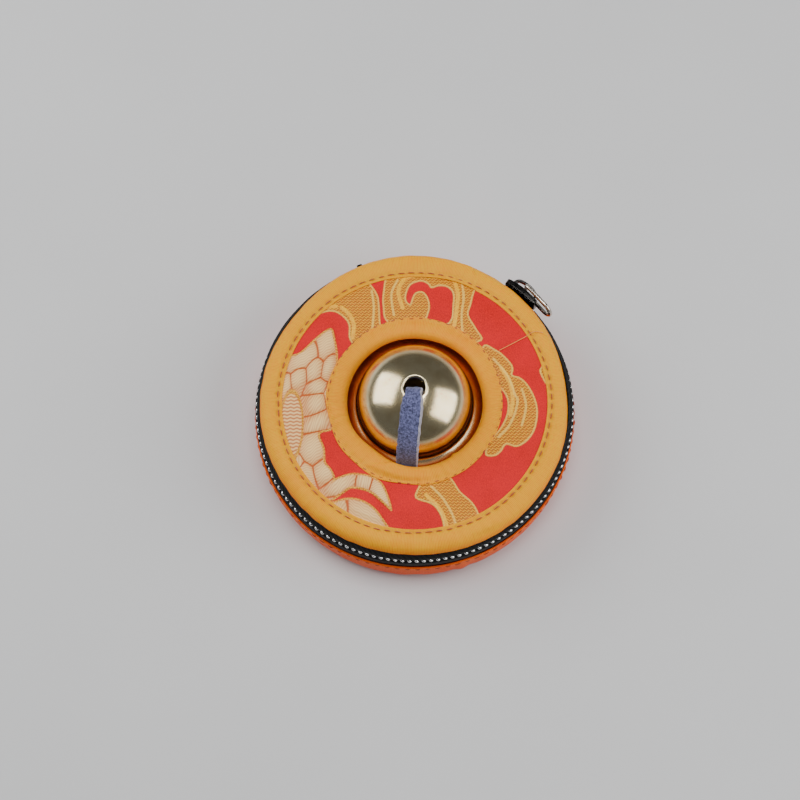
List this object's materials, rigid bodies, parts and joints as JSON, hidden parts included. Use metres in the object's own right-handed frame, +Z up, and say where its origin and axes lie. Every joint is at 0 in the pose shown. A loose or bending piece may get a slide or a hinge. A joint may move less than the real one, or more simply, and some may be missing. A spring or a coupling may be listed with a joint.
{
  "type": "pair of hand cymbals in a zip case",
  "caption": "Nested hand cymbals on a suede strap in a round brocade zip case with a bound hole in its lid, a zip slider and a pull ring.",
  "frame": {"origin": "on the case's axis, at the underside that it rests on", "axes": "+Z up along the case's axis, +Y towards the case's fabric hinge"},
  "size_m": [0.0866, 0.0866, 0.0354],
  "materials": {
    "brocade": "red satin with woven gold and cream cloud scrolls",
    "satin": "fine-ribbed golden satin",
    "wall_satin": "the same satin on the wall, where it is a deeper orange",
    "lining": "plain red lining cloth",
    "board": "grey-brown stiffening board",
    "padding": "pale wadding inside the wall",
    "zip_tape": "black woven tape",
    "zip_coil": "black nylon coil",
    "zip_metal": "dark gunmetal plate",
    "bell_metal": "polished cast bell metal",
    "suede": "blue-grey suede strap"
  },
  "bodies": {
    "case_base": {"base_outer_panel": "brocade", "base_stiffener_board": "board", "base_lining_panel": "lining", "base_side_band": "wall_satin", "base_wall_padding": "padding", "base_wall_lining": "lining", "hinge_gusset_lower": "wall_satin", "zip_tape_lower": "zip_tape", "zip_coil_lower": "zip_coil", "zip_bottom_stop": "zip_metal", "zip_top_stop": "zip_metal"},
    "lid": {"lid_outer_panel": "brocade", "lid_stiffener_board": "board", "lid_lining_panel": "lining", "lid_hole_binding": "satin", "lid_side_band": "satin", "lid_wall_lining": "lining", "hinge_gusset_upper": "wall_satin", "zip_tape_upper": "zip_tape", "zip_coil_upper": "zip_coil"},
    "zip_slider": {"slider_body": "zip_metal", "slider_crown": "zip_metal"},
    "zip_pull": {"pull_ring": "zip_metal"},
    "cymbals": {"cymbal_lower": "bell_metal", "cymbal_upper": "bell_metal", "strap": "suede", "knot_upper": "suede", "knot_lower": "suede"}
  },
  "joints": [
    {"name": "lid_hinge", "type": "hinge", "parent": "case_base", "child": "lid", "pos_m": [0, 0.0432, 0.0165], "axis": [-1, 0, 0], "range_deg": [0, 180]},
    {"name": "slider_run", "type": "hinge", "parent": "case_base", "child": "zip_slider", "pos_m": [0, 0, 0.0165], "axis": [0, 0, -1], "range_deg": [0, 288]},
    {"name": "pull_swing", "type": "hinge", "parent": "zip_slider", "child": "zip_pull", "pos_m": [0.0261, 0.03727, 0.0165], "axis": [0, 0, 1], "range_deg": [0, 194]},
    {"name": "cymbals_turn", "type": "hinge", "parent": "case_base", "child": "cymbals", "pos_m": [0, 0, 0.0032], "axis": [0, 0, 1], "continuous": true}
  ]
}
